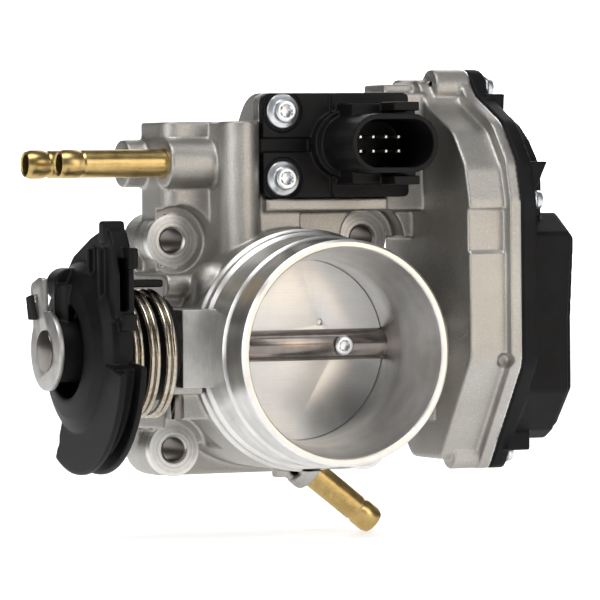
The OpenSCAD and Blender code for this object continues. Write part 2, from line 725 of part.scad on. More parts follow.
module gear_cover() color([0.11, 0.11, 0.12]) {
    difference() {
        union() {
            x_slab(cover_flange_x, cover_flange_x + 4.4) polygon(round_outline(case_outline, case_corner_r));
            x_slab(cover_flange_x + 1, cover_x - 2) polygon(round_outline(box_outline, 2));
            x_slab(cover_x - 3, cover_x) polygon(round_outline(inset_outline(box_outline, 2.2), 1.5));
            x_slab(cover_flange_x + 1, raised_x) polygon(round_outline(raised_outline, 2));
            for (s = cover_screw_at) x_cyl(4.4, cover_flange_x, cover_flange_x + 5.2, s);
            y_slab(-39, -36.6) polygon([[61, 64], [61, 71.6], [66.8, 71.6], [66.3, 64]]);
            y_slab(-61.6, -59) polygon([[61, 44.4], [61, 51.8], [69, 51.8], [65.6, 44.4]]);
            block([cover_flange_x + 2, -51, -31.6], [68, -44.4, -26]);
        }
        difference() {
            x_slab(cover_flange_x - cut, cover_flange_x + 2) polygon(round_outline(inset_outline(case_outline, 6), 4));
            for (s = cover_screw_at) x_cyl(4.4, cover_flange_x - 2 * cut, cover_flange_x + 3, s);
        }
        for (z = [-10 : 6 : 20]) block([cover_flange_x + 4.6, -64, z - 0.5], [cover_flange_x + 6.6, -61, z + 0.5]);
        x_slab(cover_flange_x - cut, cover_x - 2.4) polygon(round_outline(inset_outline(box_outline, 2.8), 1.5));
        x_slab(cover_flange_x - cut, raised_x - 2.4) polygon(round_outline(inset_outline(raised_outline, 2.6), 1));
        for (s = cover_screw_at) {
            x_cyl(2.2, cover_flange_x - cut, cover_flange_x + 7, s);
            x_cyl(3.6, cover_flange_x + 5.2, cover_x + cut, s);
        }
        x_cyl(2.5, cover_flange_x - cut, cover_flange_x + 3.4, axle_at);
    }
    for (s = board_posts()) x_cyl(2, board_x + board_t, cover_x - 2.2, s);
}

module cover_screws() color("silver") {
    for (s = cover_screw_at) translate([cover_flange_x + 5.2 + 3.2, s[0], s[1]]) rotate([0, -90, 0])
        screw(2.5, 2.3, 1.9, 15, 3.1, 0.9);
}

// ---- Idle actuator ----

bracket_angle = 110;
function bracket_hole(a) = motor_at + polar(10.6, a + bracket_angle);

module motor_can() color("silver") {
    difference() {
        union() {
            x_cyl(motor_r - 0.05, bay_x0 + 6, floor_x - 2, motor_at);
            x_cyl(5, floor_x - 2.5, floor_x - 0.2, motor_at);
        }
        x_cyl(motor_r - 1.2, bay_x0 + 5, floor_x - 4, motor_at);
        x_cyl(1.6, floor_x - 6, floor_x + cut, motor_at);
        for (a = [0, 180]) x_cyl(1.7, floor_x - 3, floor_x, bracket_hole(a));
    }
}

module motor_end_cap() color([0.2, 0.2, 0.22]) {
    difference() {
        union() {
            x_cyl(motor_r - 1.25, bay_x0 + 4.5, bay_x0 + 8.8, motor_at);
            x_cyl(5, bay_x0 + 3.3, bay_x0 + 5, motor_at);
        }
        x_cyl(1.6, bay_x0 + 5, bay_x0 + 10, motor_at);
    }
}

module motor_shaft() color("gray") {
    x_cyl(1.5, bay_x0 + 5.4, wheel_x + 7.5, motor_at);
    x_cyl(9.6, bay_x0 + 12, 35, motor_at);
    x_cyl(4.4, bay_x0 + 9.3, bay_x0 + 11.4, motor_at);
}

module motor_pinion() color("khaki") {
    x_slab(wheel_x - 1, wheel_x + 6) translate(motor_at) difference() {
        gear_shape(pinion_teeth, angle_1 + 180 + 180 / pinion_teeth);
        circle(r = 1.5);
    }
}

module motor_bracket() color("lightgray") {
    x_slab(floor_x, floor_x + 1.4) translate(motor_at) difference() {
        rotate(bracket_angle) polygon(round_box(-13.2, -4.4, 13.2, 4.4, 4.2));
        circle(r = 3);
        for (a = [0, 180]) translate(bracket_hole(a) - motor_at) circle(r = 1.7);
    }
}

module bracket_screws() color("silver") {
    for (a = [0, 180]) translate([floor_x + 1.4 + 1.1, bracket_hole(a)[0], bracket_hole(a)[1]])
        rotate([0, -90, 0]) screw(2.2, 1.1, 1.6, 3.2);
}

module reduction_gear() color("ivory") {
    difference() {
        union() {
            x_slab(wheel_x, wheel_x + wheel_t) translate(axle_at) gear_shape(wheel_teeth, angle_1);
            x_slab(wheel_x + wheel_t, wheel_x + 9.4) translate(axle_at)
                gear_shape(small_teeth, angle_2 + 180 + 180 / small_teeth);
        }
        x_cyl(2.56, wheel_x - cut, wheel_x + 12, axle_at);
        for (a = [0 : 60 : 300]) x_cyl(3.4, wheel_x - cut, wheel_x + wheel_t + cut, axle_at + polar(13.6, a));
    }
}

module reduction_axle() color("silver") {
    x_cyl(2.5, floor_x - 2, cover_flange_x + 3.4, axle_at);
}

module axle_washer() color("silver") {
    x_ring(4.4, 2.5, wheel_x - 1, wheel_x - 0.35, axle_at);
}

module idle_segment() color("ivory") {
    span = 6;
    difference() {
        union() {
            x_slab(segment_x, segment_x + segment_t) translate(shaft_at)
                polygon(concat([[0, 0]], teeth(segment_teeth, angle_2, -span, span)));
            x_cyl(9, wheel_x + 1.2, segment_x + segment_t, shaft_at);
            translate([0, shaft_y, 0]) rotate([lever_angle - 21, 0, 0])
                block([segment_x + segment_t - 0.5, 9.6, -3.2], [lever_x + 1.9, 13.4, 0]);
        }
        x_cyl(shaft_r + 0.06, wheel_x, segment_x + 5, shaft_at);
        for (a = [-22, 0, 22]) x_cyl(3.6, segment_x - cut, segment_x + segment_t + cut, shaft_at + polar(18, angle_2 + a));
    }
}

module segment_spring() color("tan") {
    coil(8, 1.1, floor_x + 0.9, wheel_x + 0.3, 2, 0, 30);
}

module segment_clip() color("dimgray") {
    difference() {
        x_cyl(7, lever_x - 0.8, lever_x - 0.1, shaft_at);
        x_cyl(shaft_r, lever_x - 2, lever_x + cut, shaft_at);
        translate([0, shaft_y, 0]) block([lever_x - 2, -2.6, -9], [lever_x + cut, 2.6, 0]);
    }
}

module shaft_lever() color("gainsboro") {
    x_slab(lever_x, lever_x + 2) difference() {
        union() {
            translate(shaft_at) circle(r = 8.4);
            translate(shaft_at) rotate(lever_angle) polygon(round_box(0, -3.4, 15.5, 3.4, 2));
        }
        translate(shaft_at) circle(r = shaft_r);
    }
}

module wiper_rotor() color([0.16, 0.16, 0.18]) {
    x_slab(lever_x + 2.1, lever_x + 5.4) difference() {
        union() {
            translate(shaft_at) circle(r = 9);
            translate(shaft_at) rotate(lever_angle) polygon(round_box(0, -6, 15.6, 6, 2.5));
        }
        translate(shaft_at) circle(r = shaft_r);
    }
}

module wiper_contacts() color("gold") {
    for (r = [10.2, 11.5, 13.4, 14.7]) translate([0, shaft_y, 0]) rotate([lever_angle, 0, 0]) {
        block([lever_x + 5.4, r - 0.5, -4], [lever_x + 5.7, r + 0.5, 4]);
        block([lever_x + 5.6, r - 0.5, -4], [lever_x + 6.5, r + 0.5, -3]);
    }
}

function board_posts() = [[-54, -8], [-54, 26], [-25, 26], [-25, -14]];

module sensor_board() color("darkgreen") {
    x_slab(board_x, board_x + board_t) difference() {
        polygon(round_outline(inset_outline(box_outline, 3.7), 1));
        translate(shaft_at) circle(r = 4);
    }
    for (r = [9.6, 12.8]) difference() {
        x_cyl(r + 2.4, board_x - 0.2, board_x, shaft_at);
        x_cyl(r, board_x - cut, board_x + cut, shaft_at);
        block([board_x - cut, -60, -30], [board_x + cut, -20, -4]);
    }
}

// Dowel that holds the fixed end of the return spring
module spring_post() color("darkgray") {
    z_cyl(post_r, -20, -9, post_x, post_y);
}

housing();
throttle_shaft();
throttle_plate();
plate_screws();
needle_bearing_left();
needle_bearing_right();
shaft_seal_left();
shaft_seal_right();
spring_sleeve();
return_spring();
cable_pulley();
pulley_bush();
end_plate();
stop_bumper();
coolant_pipe_front();
coolant_pipe_rear();
purge_pipe();
connector_shell();
connector_seal();
connector_pins();
connector_screws();
gear_cover();
cover_gasket();
cover_screws();
motor_can();
motor_end_cap();
motor_shaft();
motor_pinion();
motor_bracket();
bracket_screws();
reduction_gear();
reduction_axle();
axle_washer();
idle_segment();
segment_spring();
segment_clip();
shaft_lever();
wiper_rotor();
wiper_contacts();
sensor_board();
spring_post();
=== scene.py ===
"""Looks of a cable-driven throttle body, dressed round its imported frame.

Every size comes from the frame or is a named field in millimetres. X runs along the throttle
shaft towards the gear case, Y along the air flow towards the engine, and Z is up.
"""

import json
import logging
import math
from dataclasses import dataclass
from enum import Enum
from typing import Callable, Iterable, Sequence, Union

import bmesh
import bpy
import numpy as np
from mathutils import Matrix, Vector


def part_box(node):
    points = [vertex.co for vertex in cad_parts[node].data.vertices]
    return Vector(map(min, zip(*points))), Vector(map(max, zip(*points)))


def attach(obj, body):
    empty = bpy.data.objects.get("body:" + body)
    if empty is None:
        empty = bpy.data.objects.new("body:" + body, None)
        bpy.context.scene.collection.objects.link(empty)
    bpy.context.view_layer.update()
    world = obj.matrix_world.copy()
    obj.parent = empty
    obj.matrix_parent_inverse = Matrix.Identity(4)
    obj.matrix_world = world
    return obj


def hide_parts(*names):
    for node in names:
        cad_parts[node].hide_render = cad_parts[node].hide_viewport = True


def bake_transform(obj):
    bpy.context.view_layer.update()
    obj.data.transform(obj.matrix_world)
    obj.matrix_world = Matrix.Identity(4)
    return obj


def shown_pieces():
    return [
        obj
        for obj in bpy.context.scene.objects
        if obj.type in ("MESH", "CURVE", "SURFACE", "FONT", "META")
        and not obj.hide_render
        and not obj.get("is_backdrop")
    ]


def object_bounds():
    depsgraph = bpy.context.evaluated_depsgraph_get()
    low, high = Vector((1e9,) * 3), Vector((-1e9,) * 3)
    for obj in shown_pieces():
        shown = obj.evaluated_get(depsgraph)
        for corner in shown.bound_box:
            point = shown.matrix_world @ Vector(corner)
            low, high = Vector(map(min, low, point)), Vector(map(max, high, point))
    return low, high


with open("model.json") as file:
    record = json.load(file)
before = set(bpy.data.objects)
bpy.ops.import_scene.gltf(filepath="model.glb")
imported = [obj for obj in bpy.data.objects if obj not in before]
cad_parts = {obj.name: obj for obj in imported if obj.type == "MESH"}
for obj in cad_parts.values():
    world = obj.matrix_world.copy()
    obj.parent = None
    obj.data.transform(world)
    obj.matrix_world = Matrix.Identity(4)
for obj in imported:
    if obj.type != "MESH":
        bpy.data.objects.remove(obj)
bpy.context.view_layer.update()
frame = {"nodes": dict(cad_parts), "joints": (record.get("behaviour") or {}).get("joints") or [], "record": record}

LOG = logging.getLogger("throttle_body")
MM = 0.001
Colour = tuple[float, float, float]
Point = tuple[float, float, float]


def mount(name: str) -> dict:
    """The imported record's mount of that name."""
    return next(m for m in frame["record"]["mounts"] if m["name"] == name)


def joint(name: str) -> dict:
    """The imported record's joint of that name."""
    return next(j for j in frame["joints"] if j["name"] == name)


def body_of_node(node: str) -> str:
    """The name of the body that holds a CAD node."""
    bodies = frame["record"]["behaviour"]["bodies"]
    return next(body for body, nodes in bodies.items() if node in nodes)


def slot_of_node(node: str) -> str:
    """The material slot that the record gives a CAD node."""
    return next(s["material_slot"] for s in frame["record"]["subparts"] if s["node"] == node)


def box_mm(node: str) -> tuple[np.ndarray, np.ndarray]:
    """Lowest and highest corner of a CAD node, in millimetres."""
    low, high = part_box(node)
    return np.array(low) / MM, np.array(high) / MM


# ---- Shader expressions ----


class Signal:
    """A node socket that carries a number and takes part in Python arithmetic."""

    def __init__(self, shader: "Shader", socket: bpy.types.NodeSocket) -> None:
        """Keeps the socket and the shader that it belongs to."""
        self.shader = shader
        self.socket = socket

    def __add__(self, other: "Number") -> "Signal":
        """Sum."""
        return self.shader.math("ADD", self, other)

    __radd__ = __add__

    def __sub__(self, other: "Number") -> "Signal":
        """Difference."""
        return self.shader.math("SUBTRACT", self, other)

    def __rsub__(self, other: "Number") -> "Signal":
        """Difference with the signal taken away."""
        return self.shader.math("SUBTRACT", other, self)

    def __mul__(self, other: "Number") -> "Signal":
        """Product."""
        return self.shader.math("MULTIPLY", self, other)

    __rmul__ = __mul__

    def __truediv__(self, other: "Number") -> "Signal":
        """Quotient."""
        return self.shader.math("DIVIDE", self, other)

    def __pow__(self, other: "Number") -> "Signal":
        """Power."""
        return self.shader.math("POWER", self, other)

    def clamped(self) -> "Signal":
        """The signal held between 0 and 1."""
        return self.shader.math("MINIMUM", self.shader.math("MAXIMUM", self, 0.0), 1.0)

    def step(self, low: float, high: float) -> "Signal":
        """0 below low, 1 above high, and smooth between them."""
        node = self.shader.node(
            "ShaderNodeMapRange",
            {"interpolation_type": "SMOOTHSTEP"},
            {"Value": self, "From Min": low, "From Max": high},
        )
        return Signal(self.shader, node.outputs["Result"])


Number = Union[float, Signal]


class Shader:
    """One material under construction."""

    def __init__(self, name: str) -> None:
        """Makes an empty material with an output."""
        self.material = bpy.data.materials.new(name)
        self.material.use_nodes = True
        self.tree = self.material.node_tree
        self.tree.nodes.clear()
        self.output = self.tree.nodes.new("ShaderNodeOutputMaterial")
        self.position = self.node("ShaderNodeTexCoord").outputs["Object"]

    def node(self, kind: str, settings: dict | None = None, inputs: dict | None = None) -> bpy.types.Node:
        """Adds a node.

        Args:
            kind: The node's type.
            settings: Its properties; "stops" fills a colour ramp.
            inputs: Values or links of its sockets, by name or index.

        Returns:
            The node.
        """
        node = self.tree.nodes.new(kind)
        for key, value in (settings or {}).items():
            if key == "stops":
                self._fill_ramp(node.color_ramp, value)
            else:
                setattr(node, key, value)
        for key, value in (inputs or {}).items():
            self.feed(node.inputs[key], value)
        return node

    @staticmethod
    def _fill_ramp(ramp: bpy.types.ColorRamp, stops: Sequence[tuple[float, Colour]]) -> None:
        """Gives a ramp its stops."""
        while len(ramp.elements) < len(stops):
            ramp.elements.new(0.5)
        for element, (place, colour) in zip(ramp.elements, stops):
            element.position = place
            element.color = (*colour, 1.0)

    def feed(self, socket: bpy.types.NodeSocket, value: object) -> None:
        """Links a signal or a socket to an input, or sets its value."""
        if isinstance(value, Signal):
            self.tree.links.new(value.socket, socket)
        elif isinstance(value, bpy.types.NodeSocket):
            self.tree.links.new(value, socket)
        elif isinstance(value, tuple) and socket.type == "RGBA":
            socket.default_value = (*value, 1.0)
        else:
            socket.default_value = value

    def math(self, operation: str, *values: Number) -> Signal:
        """A Math node on numbers and signals."""
        node = self.node("ShaderNodeMath", {"operation": operation}, dict(enumerate(values)))
        return Signal(self, node.outputs[0])

    def axes(self, vector: bpy.types.NodeSocket | None = None) -> tuple[Signal, Signal, Signal]:
        """The three parts of a vector, by default of the place on the object in metres."""
        parts = self.node("ShaderNodeSeparateXYZ", None, {0: vector or self.position})
        return tuple(Signal(self, parts.outputs[i]) for i in range(3))

    def vector(self, x: Number, y: Number, z: Number) -> bpy.types.NodeSocket:
        """A vector from three numbers or signals."""
        return self.node("ShaderNodeCombineXYZ", None, {0: x, 1: y, 2: z}).outputs[0]

    def noise(
        self, size_mm: float, detail: float = 3.0, rough: float = 0.55, at: bpy.types.NodeSocket | None = None
    ) -> Signal:
        """Noise from 0 to 1 whose features are about size_mm across."""
        node = self.node(
            "ShaderNodeTexNoise",
            None,
            {
                "Vector": at or self.position,
                "Scale": 1.0 / (size_mm * MM),
                "Detail": detail,
                "Roughness": rough,
            },
        )
        return Signal(self, node.outputs["Fac"])

    def cells(self, size_mm: float) -> Signal:
        """Distance to the nearest of scattered points about size_mm apart."""
        node = self.node(
            "ShaderNodeTexVoronoi", None, {"Vector": self.position, "Scale": 1.0 / (size_mm * MM)}
        )
        return Signal(self, node.outputs["Distance"])

    def attribute(self, name: str) -> Signal:
        """A number stored on the mesh's points."""
        node = self.node("ShaderNodeAttribute", {"attribute_name": name})
        return Signal(self, node.outputs["Fac"])

    def blend(self, factor: Number, a: object, b: object) -> bpy.types.NodeSocket:
        """A colour between a and b."""
        node = self.node("ShaderNodeMix", {"data_type": "RGBA"}, {0: factor, 6: a, 7: b})
        return node.outputs[2]

    def bump(self, height: Signal, depth_mm: float, strength: Number = 1.0) -> bpy.types.NodeSocket:
        """A normal from a height that runs from 0 to 1 over depth_mm."""
        node = self.node(
            "ShaderNodeBump", None, {"Height": height, "Distance": depth_mm * MM, "Strength": strength}
        )
        return node.outputs["Normal"]

    def finish(self, **sockets: object) -> bpy.types.Material:
        """Ends in a Principled surface; underscores in the names stand for spaces."""
        surface = self.node(
            "ShaderNodeBsdfPrincipled", None, {key.replace("_", " "): value for key, value in sockets.items()}
        )
        self.tree.links.new(surface.outputs[0], self.output.inputs["Surface"])
        return self.material


# ---- Finishes ----


class Line(Enum):
    """The direction that a part was turned, drawn or ground about."""

    ALONG_X = 0
    ALONG_Y = 1
    ALONG_Z = 2


@dataclass(frozen=True)
class CastAluminium:
    """Fine-grained cast skin that turns bright and smooth where the mesh says it was machined."""

    name: str = "cast_aluminium"
    light: Colour = (0.56, 0.545, 0.52)
    dark: Colour = (0.36, 0.345, 0.32)
    bright: Colour = (0.74, 0.73, 0.72)
    grain_mm: float = 0.4
    mottle_mm: float = 6.0
    depth_mm: float = 0.12

    def material(self) -> bpy.types.Material:
        """Builds the material."""
        s = Shader(self.name)
        machined = s.attribute("machined")
        grain = s.noise(self.grain_mm, 4.0, 0.62)
        pits = s.cells(self.grain_mm * 2.1).step(0.05, 0.45)
        mottle = s.noise(self.mottle_mm, 4.0, 0.6)
        speck = s.noise(self.grain_mm * 0.9, 2.0).step(0.5, 0.68)
        wash = s.noise(self.mottle_mm * 3.5, 3.0, 0.5).step(0.3, 0.7)
        skin = s.blend((mottle * 0.35 + wash * 0.3 + speck * 0.45).clamped(), self.dark, self.light)
        x, y, z = s.axes()
        marks = s.noise(0.35, 2.0, 0.5, s.vector(x * 0.12, y, z))
        rough = (0.33 + grain * 0.2 + mottle * 0.06) * (1 - machined) + machined * (0.24 + marks * 0.14)
        height = (grain * 0.75 + pits * 0.25) * (1 - machined) + marks * machined * 0.12
        return s.finish(
            Base_Color=s.blend(machined, skin, self.bright),
            Metallic=1.0,
            Roughness=rough,
            Normal=s.bump(height, self.depth_mm, 0.8),
        )


@dataclass(frozen=True)
class TurnedMetal:
    """Metal turned or ground round an axis: fine rings, and a little tarnish."""

    name: str
    colour: Colour
    shade: Colour
    line: Line
    centre_mm: tuple[float, float]
    rough: float = 0.26
    ring_mm: float = 0.28
    depth_mm: float = 0.01
    anisotropic: float = 0.5

    def material(self) -> bpy.types.Material:
        """Builds the material."""
        s = Shader(self.name)
        parts = list(s.axes())
        along = parts.pop(self.line.value)
        u = parts[0] - self.centre_mm[0] * MM
        v = parts[1] - self.centre_mm[1] * MM
        radius = s.math("SQRT", u * u + v * v)
        rings = s.noise(self.ring_mm, 3.0, 0.7, s.vector(radius, along, 0.0))
        bands = s.noise(self.ring_mm * 14, 2.0, 0.5, s.vector(radius, along, 0.0))
        stain = s.noise(6.0, 3.0, 0.55)
        tone = (bands * 0.5 + stain * 0.5).step(0.35, 0.68)
        return s.finish(
            Base_Color=s.blend(tone, self.shade, self.colour),
            Metallic=1.0,
            Roughness=self.rough + rings * 0.12 + stain * 0.05,
            Anisotropic=self.anisotropic,
            Normal=s.bump(rings, self.depth_mm, 0.6),
        )


@dataclass(frozen=True)
class SpotFaced:
    """Faces cut round four bolt holes in a square: rings round each hole, bright at the rim, and painted shade
    inside each hole.
    """

    half_mm: float
    name: str = "spot_faced"
    colour: Colour = (0.80, 0.79, 0.77)
    shade: Colour = (0.52, 0.51, 0.49)
    # painted shade: the dark brown that the bolt holes' inner walls get
    hole_shade: Colour = (0.20, 0.17, 0.145)
    ring_mm: float = 0.34
    rim_mm: float = 7.0
    hole_mm: float = 3.45

    def material(self) -> bpy.types.Material:
        """Builds the material."""
        s = Shader(self.name)
        x, y, z = s.axes()
        u = s.math("ABSOLUTE", x) - self.half_mm * MM
        v = s.math("ABSOLUTE", z) - self.half_mm * MM
        radius = s.math("SQRT", u * u + v * v)
        rings = s.noise(self.ring_mm, 3.0, 0.7, s.vector(radius, y * 0.2, 0.0))
        sweep = s.noise(2.4, 3.0, 0.6, s.vector(u, v, 0.0))
        rim = radius.step((self.rim_mm - 0.3) * MM, self.rim_mm * MM)
        tone = ((rings * 0.75 + sweep * 0.25).step(0.36, 0.64) + rim * 0.6).clamped()
        # painted shade: the colour turns dark brown inside the bolt hole, where shade falls
        hole = radius.step(self.hole_mm * MM, (self.hole_mm + 0.25) * MM)
        return s.finish(
            Base_Color=s.blend(hole, self.hole_shade, s.blend(tone, self.shade, self.colour)),
            Metallic=1.0,
            Roughness=0.32 + rings * 0.16,
            Normal=s.bump(rings, 0.03, 0.8),
        )


@dataclass(frozen=True)
class PlainMetal:
    """Plated, rolled or drawn metal with faint streaks along one line and a cloudy tone."""

    name: str
    colour: Colour
    shade: Colour
    line: Line = Line.ALONG_X
    rough: float = 0.25
    streak_mm: float = 0.25
    depth_mm: float = 0.008
    cloud_mm: float = 3.0

    def material(self) -> bpy.types.Material:
        """Builds the material."""
        s = Shader(self.name)
        parts = list(s.axes())
        parts[self.line.value] = parts[self.line.value] * 0.04
        streaks = s.noise(self.streak_mm, 3.0, 0.6, s.vector(*parts))
        clouds = s.noise(self.cloud_mm, 4.0, 0.6)
        return s.finish(
            Base_Color=s.blend((clouds * 0.6 + streaks * 0.4).step(0.32, 0.68), self.shade, self.colour),
            Metallic=1.0,
            Roughness=self.rough + clouds * 0.14 + streaks * 0.06,
            Normal=s.bump(streaks, self.depth_mm, 0.7),
        )


@dataclass(frozen=True)
class Moulded:
    """Moulded plastic or rubber: fine spark texture, faint flow clouds and dull patches."""

    name: str
    colour: Colour
    shade: Colour
    rough: float = 0.42
    grain_mm: float = 0.3
    depth_mm: float = 0.02
    cloud_mm: float = 9.0
    gloss: float = 0.16

    def material(self) -> bpy.types.Material:
        """Builds the material."""
        s = Shader(self.name)
        grain = s.noise(self.grain_mm, 3.0, 0.6)
        clouds = s.noise(self.cloud_mm, 4.0, 0.55)
        dust = s.noise(self.grain_mm * 3, 2.0).step(0.66, 0.8)
        tone = (clouds.step(0.35, 0.7) * 0.7 + dust * 0.3).clamped()
        return s.finish(
            Base_Color=s.blend(tone, self.colour, self.shade),
            Roughness=self.rough + clouds * 0.12 + grain * 0.08,
            Normal=s.bump(grain, self.depth_mm, 0.7),
            Specular_IOR_Level=self.gloss,
        )


@dataclass(frozen=True)
class CircuitBoard:
    """Solder-masked board with paths that show as faint lines."""

    name: str = "board"
    mask: Colour = (0.02, 0.12, 0.06)
    path: Colour = (0.05, 0.24, 0.12)
    pitch_mm: float = 3.2

    def material(self) -> bpy.types.Material:
        """Builds the material."""
        s = Shader(self.name)
        lines = s.cells(self.pitch_mm).step(0.38, 0.42)
        return s.finish(
            Base_Color=s.blend(lines, self.path, self.mask),
            Roughness=0.3 + s.noise(1.0) * 0.1,
            Normal=s.bump(lines, 0.03),
        )


Finish = Union[CastAluminium, SpotFaced, TurnedMetal, PlainMetal, Moulded, CircuitBoard]


class Finishes:
    """All the finishes of the part, each material made once when it is first asked for."""

    def __init__(
        self, shaft_mm: tuple[float, float], bore_mm: tuple[float, float], bolt_half_mm: float
    ) -> None:
        """Lists the finishes.

        Args:
            shaft_mm: Y and Z of the throttle shaft's axis.
            bore_mm: X and Z of the bore's axis.
            bolt_half_mm: Half of the bolt pattern's spacing.
        """
        self._made: dict[str, bpy.types.Material] = {}
        black = dict(colour=(0.004, 0.004, 0.0045), shade=(0.009, 0.009, 0.010))
        listed: tuple[Finish, ...] = (
            CastAluminium(),
            SpotFaced(bolt_half_mm),
            TurnedMetal("turned_aluminium", (0.80, 0.795, 0.785), (0.66, 0.65, 0.635), Line.ALONG_Y, bore_mm),
            PlainMetal(
                "plate_metal", (0.66, 0.655, 0.645), (0.58, 0.57, 0.56), Line.ALONG_X, 0.3, 0.3, 0.012, 9.0
            ),
            TurnedMetal(
                "dark_steel", (0.27, 0.24, 0.22), (0.21, 0.185, 0.17), Line.ALONG_X, shaft_mm, 0.13, 0.3,
                0.008, 0.6,
            ),
            TurnedMetal("bearing_steel", (0.62, 0.61, 0.6), (0.5, 0.49, 0.48), Line.ALONG_X, shaft_mm, 0.25),
            PlainMetal(
                "zinc_plate", (0.60, 0.59, 0.57), (0.46, 0.45, 0.43), Line.ALONG_Z, 0.34, 0.3, 0.012, 4.0
            ),
            PlainMetal(
                "zinc_screws", (0.78, 0.81, 0.84), (0.66, 0.69, 0.72), Line.ALONG_Y, 0.24, 0.9, 0.002, 3.0
            ),
            PlainMetal("brass", (0.62, 0.46, 0.20), (0.42, 0.29, 0.11), Line.ALONG_X, 0.2, 0.22, 0.01, 5.0),
            PlainMetal(
                "spring_steel", (0.58, 0.54, 0.47), (0.36, 0.30, 0.22), Line.ALONG_X, 0.15, 1.4, 0.002, 6.0
            ),
            PlainMetal("tinned_metal", (0.80, 0.79, 0.77), (0.66, 0.65, 0.62), Line.ALONG_Y, 0.28),
            Moulded("black_plastic", **black, rough=0.36),
            Moulded("connector_plastic", **black, rough=0.33, depth_mm=0.012),
            Moulded("cover_plastic", **black, rough=0.44, grain_mm=0.4, depth_mm=0.03),
            Moulded("seal_rubber", (0.012, 0.011, 0.010), (0.02, 0.018, 0.016), 0.6, 0.4, 0.03),
            Moulded("gear_plastic", (0.72, 0.68, 0.56), (0.66, 0.61, 0.48), 0.38, 0.5, 0.01),
            CircuitBoard(),
        )
        self._listed = {finish.name: finish for finish in listed}

    def __getitem__(self, name: str) -> bpy.types.Material:
        """The material of that name."""
        if name not in self._made:
            self._made[name] = self._listed[name].material()
        return self._made[name]


# ---- Mesh tools ----


def new_object(name: str, mesh: bpy.types.Mesh) -> bpy.types.Object:
    """Links a mesh to the scene as an object."""
    piece = bpy.data.objects.new(name, mesh)
    bpy.context.scene.collection.objects.link(piece)
    return piece


def mesh_from(name: str, points: np.ndarray, faces: Iterable[Sequence[int]]) -> bpy.types.Object:
    """An object from points in millimetres and faces."""
    mesh = bpy.data.meshes.new(name)
    mesh.from_pydata([tuple(p) for p in np.asarray(points) * MM], [], list(faces))
    mesh.validate()
    return new_object(name, mesh)


def shade(piece: bpy.types.Object, angle_deg: float = 32.0) -> bpy.types.Object:
    """Smooth shading with edges kept sharp above an angle."""
    piece.data.polygons.foreach_set("use_smooth", [True] * len(piece.data.polygons))
    piece.data.set_sharp_from_angle(angle=math.radians(angle_deg))
    return piece


def settle(piece: bpy.types.Object) -> bpy.types.Object:
    """Applies every modifier of a piece."""
    bpy.context.view_layer.update()
    graph = bpy.context.evaluated_depsgraph_get()
    mesh = bpy.data.meshes.new_from_object(piece.evaluated_get(graph))
    piece.modifiers.clear()
    piece.data = mesh
    return piece


def axis_matrix(origin: Point, direction: Point) -> Matrix:
    """A frame at origin, in millimetres, whose Z points along direction."""
    turn = Vector(direction).to_track_quat("Z", "Y").to_matrix().to_4x4()
    return Matrix.Translation(Vector(origin)) @ turn


@dataclass(frozen=True)
class Ring:
    """One ring of a turned shape, with optional lobes for a star recess."""

    radius: float
    height: float
    lobe: float = 0.0


def turned(
    name: str, rings: Sequence[Ring], origin: Point, direction: Point, sides: int = 96, lobes: int = 6
) -> bpy.types.Object:
    """A shape turned about an axis.

    Args:
        name: The piece's name.
        rings: Radius and height of each ring in millimetres; a radius of 0 closes the shape.
        origin: Where height 0 lies, in millimetres.
        direction: Which way heights grow.
        sides: Points on each ring.
        lobes: How many lobes the lobed rings have.

    Returns:
        The object.
    """
    place = axis_matrix(origin, direction)
    points: list[Vector] = []
    rows: list[list[int]] = []
    for ring in rings:
        if ring.radius == 0:
            rows.append([len(points)] * sides)
            points.append(place @ Vector((0, 0, ring.height)))
            continue
        row = []
        for k in range(sides):
            angle = math.tau * k / sides
            radius = ring.radius * (1 + ring.lobe * math.cos(lobes * angle))
            row.append(len(points))
            points.append(place @ Vector((radius * math.cos(angle), radius * math.sin(angle), ring.height)))
        rows.append(row)
    faces = []
    for low, high in zip(rows, rows[1:]):
        for k in range(sides):
            m = (k + 1) % sides
            quad = [low[k], low[m], high[m], high[k]]
            faces.append(list(dict.fromkeys(quad)))
    piece = mesh_from(name, np.array([tuple(p) for p in points]), [f for f in faces if len(f) > 2])
    fix_normals(piece)
    return shade(piece, 28.0)


def fix_normals(piece: bpy.types.Object) -> None:
    """Turns the faces so that they all look outwards."""
    bm = bmesh.new()
    bm.from_mesh(piece.data)
    bmesh.ops.recalc_face_normals(bm, faces=bm.faces)
    bm.to_mesh(piece.data)
    bm.free()


def node_copy(node: str, name: str) -> bpy.types.Object:
    """A free copy of a CAD node's mesh, with its seams joined."""
    source = frame["nodes"][node]
    piece = new_object(name, source.data.copy())
    piece.data.materials.clear()
    bm = bmesh.new()
    bm.from_mesh(piece.data)
    bmesh.ops.remove_doubles(bm, verts=bm.verts, dist=2e-6)
    bm.to_mesh(piece.data)
    bm.free()
    if piece.data.has_custom_normals:
        with bpy.context.temp_override(object=piece, active_object=piece, selected_objects=[piece]):
            bpy.context.view_layer.objects.active = piece
            bpy.ops.mesh.customdata_custom_splitnormals_clear()
    return piece


def bevelled(
    node: str, name: str, width_mm: float, segments: int = 2, angle_deg: float = 38.0
) -> bpy.types.Object:
    """A copy of a CAD node with its edges broken by a small bevel."""
    piece = node_copy(node, name)
    bm = bmesh.new()
    bm.from_mesh(piece.data)
    bmesh.ops.dissolve_limit(bm, angle_limit=math.radians(0.6), verts=bm.verts, edges=bm.edges)
    bm.to_mesh(piece.data)
    bm.free()
    bevel = piece.modifiers.new("edges", "BEVEL")
    bevel.width = width_mm * MM
    bevel.segments = segments
    bevel.limit_method = "ANGLE"
    bevel.angle_limit = math.radians(angle_deg)
    bevel.use_clamp_overlap = False
    bevel.miter_outer = "MITER_ARC"
    return shade(settle(piece), 34.0)


